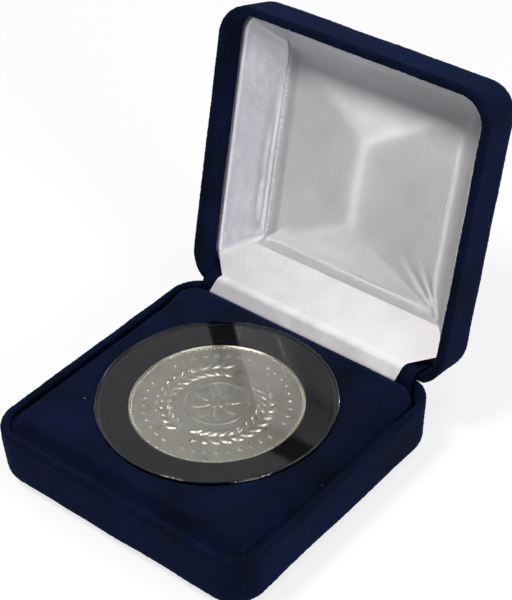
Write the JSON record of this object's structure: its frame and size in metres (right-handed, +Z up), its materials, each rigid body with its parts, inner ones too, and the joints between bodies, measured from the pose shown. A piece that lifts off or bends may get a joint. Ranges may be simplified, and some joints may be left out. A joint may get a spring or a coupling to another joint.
{
  "type": "coin capsule box",
  "caption": "Velvet-covered box with a hinged satin-lined lid, standing open over a clear round coin capsule in a padded insert.",
  "frame": {"origin": "middle of the flat underside", "axes": "+X to the right, +Y towards the hinge, +Z up; the rest pose has the lid open"},
  "size_m": [0.0698, 0.0955, 0.0802],
  "materials": {
    "shell_plastic": "moulded, matt",
    "navy_velvet": "navy velvet, short pile",
    "underside_paper": "navy grained lining paper",
    "grey_board": "grey board, uncoated",
    "foam": "soft foam",
    "steel": "bright zinc plate",
    "acrylic": "clear acrylic, polished",
    "ring_foam": "charcoal closed-cell foam",
    "silver": "struck silver, satin field",
    "white_satin": "white satin",
    "wadding": "loose wadding"
  },
  "bodies": {
    "base": {"base_shell": "shell_plastic", "base_velvet": "navy_velvet", "underside_sheet": "underside_paper", "insert_support": "grey_board", "insert_board": "grey_board", "insert_foam": "foam", "insert_velvet": "navy_velvet", "recess_pad": "navy_velvet", "hinge_base_leaf": "steel", "hinge_pin": "steel", "base_rivets": "steel", "snap_spring": "steel", "hinge_velvet": "navy_velvet"},
    "lid": {"lid_shell": "shell_plastic", "lid_velvet": "navy_velvet", "hinge_lid_leaf": "steel", "lid_rivets": "steel", "lid_wall_card": "grey_board", "lid_wall_satin": "white_satin", "lid_pad_card": "grey_board", "lid_pad_wadding": "wadding", "lid_pad_satin": "white_satin", "satin_apron": "white_satin"},
    "capsule_lower": {"capsule_base": "acrylic"},
    "ring": {"foam_ring": "ring_foam"},
    "coin": {"coin": "silver"},
    "capsule_upper": {"capsule_cap": "acrylic"}
  },
  "joints": [
    {"name": "lid_hinge", "type": "hinge", "parent": "base", "child": "lid", "pos_m": [0, 0.03275, 0.0152], "axis": [-1, 0, 0], "range_deg": [-103, 0], "deforming": ["hinge_velvet", "satin_apron"]},
    {"name": "capsule_lift", "type": "slide", "parent": "base", "child": "capsule_lower", "axis": [0, 0, 1], "range_m": [0, 0.025]},
    {"name": "ring_lift", "type": "slide", "parent": "capsule_lower", "child": "ring", "axis": [0, 0, 1], "range_m": [0, 0.01]},
    {"name": "coin_lift", "type": "slide", "parent": "ring", "child": "coin", "axis": [0, 0, 1], "range_m": [0, 0.008]},
    {"name": "cap_lift", "type": "slide", "parent": "coin", "child": "capsule_upper", "axis": [0, 0, 1], "range_m": [0, 0.008]}
  ]
}
